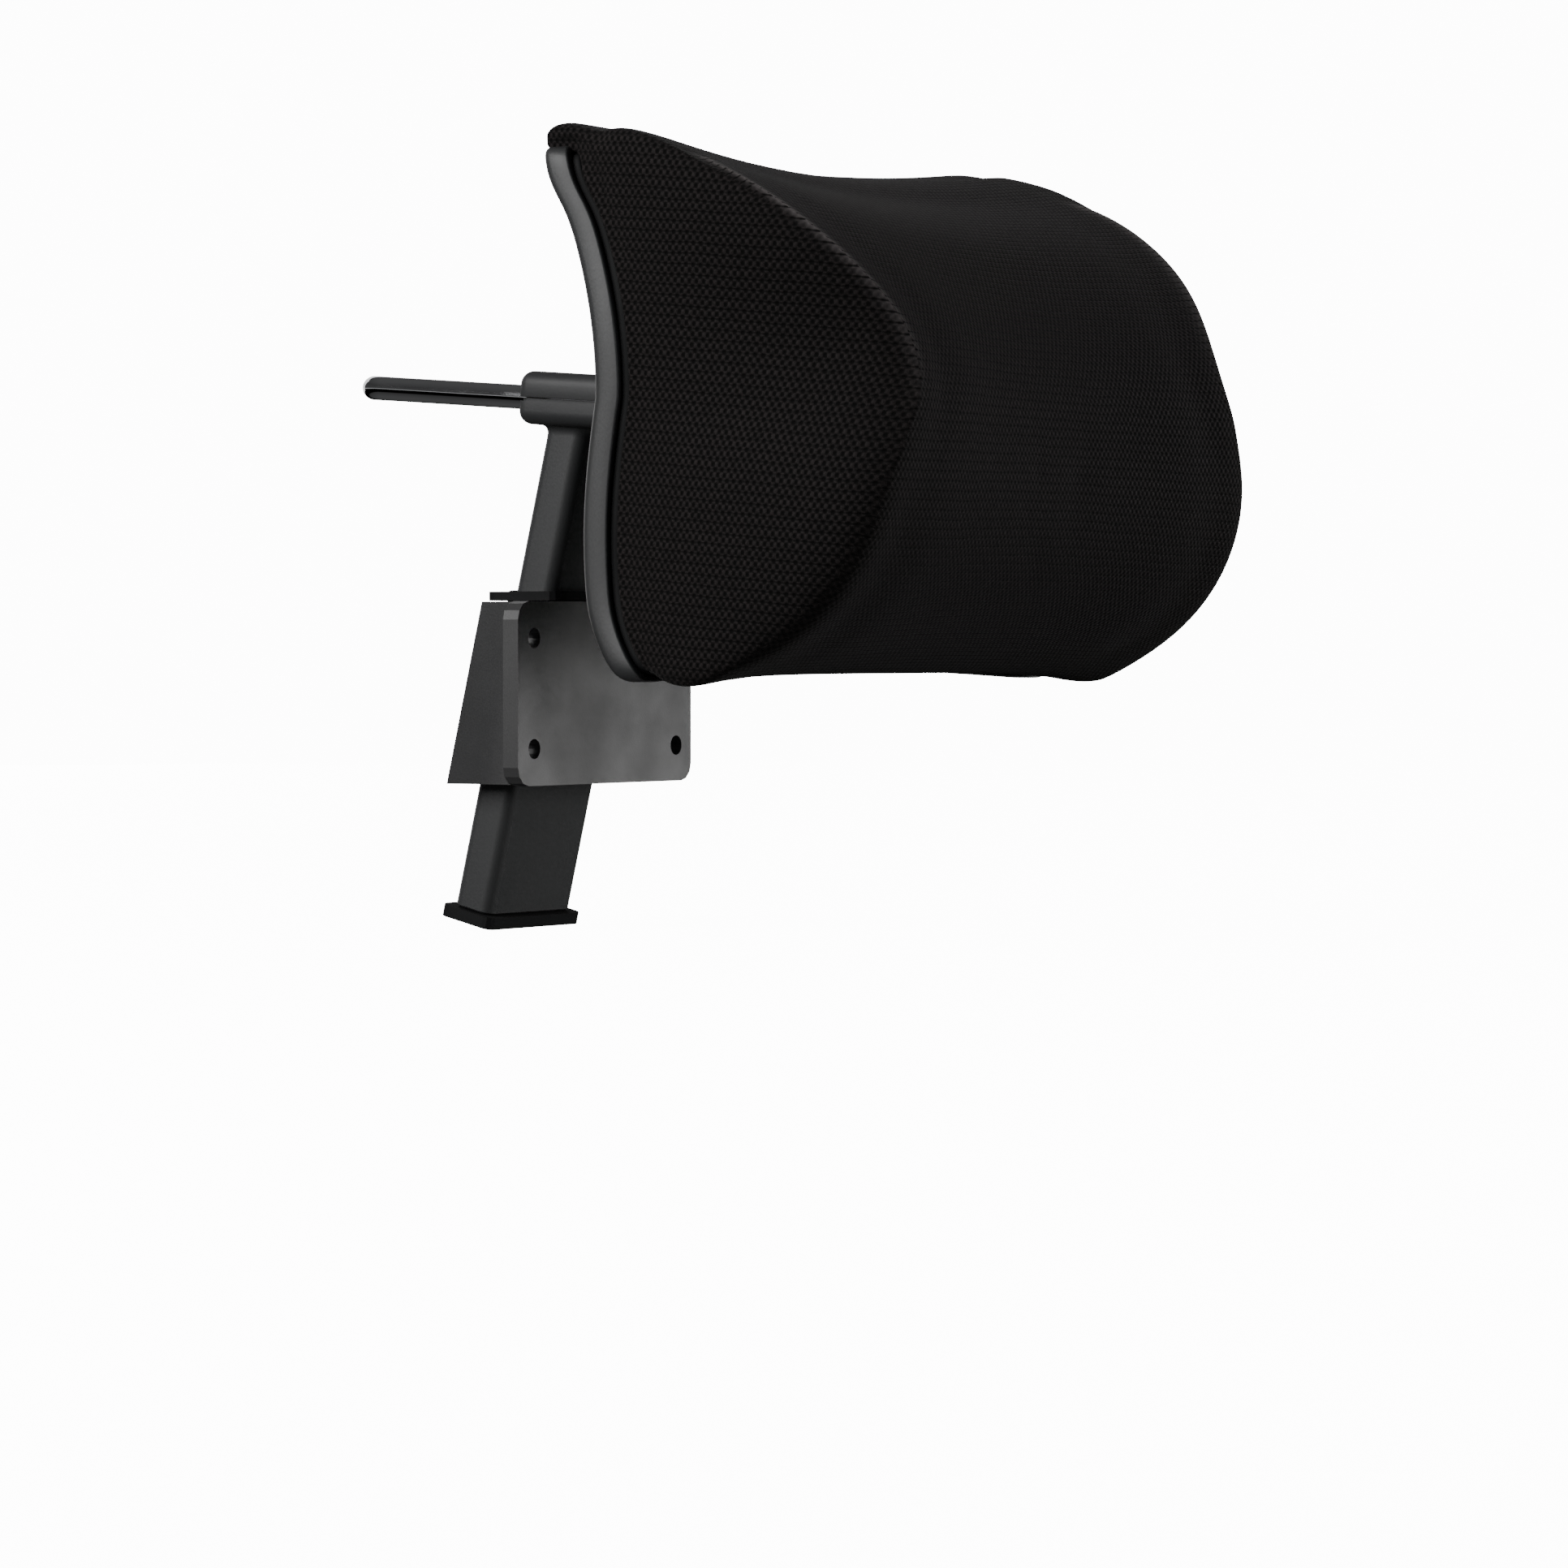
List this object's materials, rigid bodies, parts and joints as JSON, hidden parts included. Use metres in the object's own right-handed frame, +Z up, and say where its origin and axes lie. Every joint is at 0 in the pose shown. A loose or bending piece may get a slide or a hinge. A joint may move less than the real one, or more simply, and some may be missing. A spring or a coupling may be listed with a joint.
{
  "type": "chair headrest attachment",
  "caption": "Office chair headrest: padded knit cushion on an S-curved shell that tilts on a sliding chrome U-rail, clamped on a height-adjustable stem in a bolt-on bracket.",
  "frame": {"origin": "centre of the chair bracket's flat mounting face", "axes": "+X across the chair, +Y towards the chair's rear, +Z up with the chair upright"},
  "size_m": [0.2482, 0.2715, 0.2535],
  "materials": {
    "shell_plastic": "satin black moulding with a fine grain",
    "housing_plastic": "satin dark grey moulding with a fine grain",
    "inner_plastic": "smooth black moulding",
    "bearing_plastic": "natural grey bearing plastic",
    "chrome": "polished chrome plate",
    "zinc_steel": "zinc-plated steel",
    "spring_steel": "oiled spring steel",
    "bracket_paint": "black powder coat",
    "foam": "moulded open-cell foam",
    "knit_fabric": "black knitted mesh fabric"
  },
  "bodies": {
    "chair_side": {"chair_bracket": "bracket_paint", "socket_collar": "inner_plastic", "height_brake_shoe": "bearing_plastic", "height_brake_spring": "spring_steel", "height_brake_plug": "zinc_steel"},
    "stem": {"post": "housing_plastic", "clamp_cover": "housing_plastic", "post_end_stop": "inner_plastic", "post_end_screw": "zinc_steel", "rail_brake_shoe": "bearing_plastic", "rail_brake_spring": "spring_steel", "clamp_screw_1": "zinc_steel", "clamp_screw_2": "zinc_steel", "clamp_screw_3": "zinc_steel", "clamp_screw_4": "zinc_steel", "rail_bush_left_rear": "bearing_plastic", "rail_bush_left_front": "bearing_plastic", "rail_bush_right_rear": "bearing_plastic", "rail_bush_right_front": "bearing_plastic"},
    "rail": {"rail_loop": "chrome", "pivot_carrier": "housing_plastic", "rail_pin_left": "zinc_steel", "rail_pin_right": "zinc_steel", "tilt_axle": "zinc_steel", "axle_nut": "zinc_steel", "spring_washer": "spring_steel", "friction_washer_left": "bearing_plastic", "friction_washer_right": "bearing_plastic"},
    "cushion": {"hinge_base": "zinc_steel", "back_shell": "shell_plastic", "inner_plate": "inner_plastic", "foam_core": "foam", "fabric_cover": "knit_fabric", "hinge_screw_1": "zinc_steel", "hinge_screw_2": "zinc_steel", "hinge_screw_3": "zinc_steel", "hinge_screw_4": "zinc_steel"}
  },
  "joints": [
    {"name": "height_slide", "type": "slide", "parent": "chair_side", "child": "stem", "axis": [0, -0.2334, 0.9724], "range_m": [-0.025, 0.04]},
    {"name": "depth_slide", "type": "slide", "parent": "stem", "child": "rail", "axis": [0, -0.9973, -0.0732], "range_m": [-0.01, 0.055]},
    {"name": "tilt", "type": "hinge", "parent": "rail", "child": "cushion", "pos_m": [0, -0.05924, 0.09157], "axis": [1, 0, 0], "range_deg": [-25, 20]}
  ]
}
